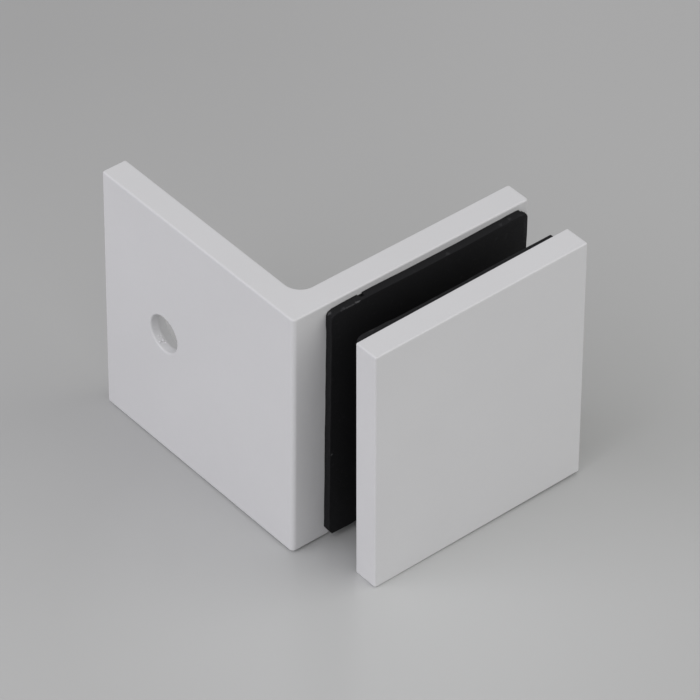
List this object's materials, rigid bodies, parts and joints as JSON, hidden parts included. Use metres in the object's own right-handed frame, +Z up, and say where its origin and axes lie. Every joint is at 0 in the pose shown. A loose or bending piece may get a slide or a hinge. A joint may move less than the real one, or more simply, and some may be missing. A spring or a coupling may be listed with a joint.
{
  "type": "glass-to-wall bracket",
  "caption": "Square right-angle bracket that clamps the edge of a glass panel between an L angle and a plate and screws it to a wall.",
  "frame": {"origin": "centre of the flat face of the wall leg, which lies on the wall", "axes": "-X out of the wall face into the wall, +X along the glass leg away from the wall, -Y from the glass leg through the glass to the clamp plate, +Z up"},
  "size_m": [0.05, 0.065, 0.05],
  "materials": {
    "white_powder_coat": "satin",
    "black_rubber": "matte",
    "black_nylon": "satin",
    "stainless_steel": "satin"
  },
  "bodies": {
    "angle": {"wall_angle": "white_powder_coat", "angle_gasket": "black_rubber"},
    "plate": {"clamp_plate": "white_powder_coat", "plate_gasket": "black_rubber", "glass_sleeve": "black_nylon"},
    "screw": {"clamp_screw": "stainless_steel"}
  },
  "joints": [
    {"name": "clamp_slide", "type": "slide", "parent": "angle", "child": "plate", "axis": [0, -1, 0], "range_m": [-0.001, 0.003]},
    {"name": "screw_turn", "type": "hinge", "parent": "angle", "child": "screw", "pos_m": [0.0275, -0.02, 0], "axis": [0, -1, 0], "range_deg": [-1080, 360]}
  ],
  "couplings": [
    {"joint": "screw_turn", "follows": "clamp_slide", "rad_per_m": -6283.2}
  ]
}
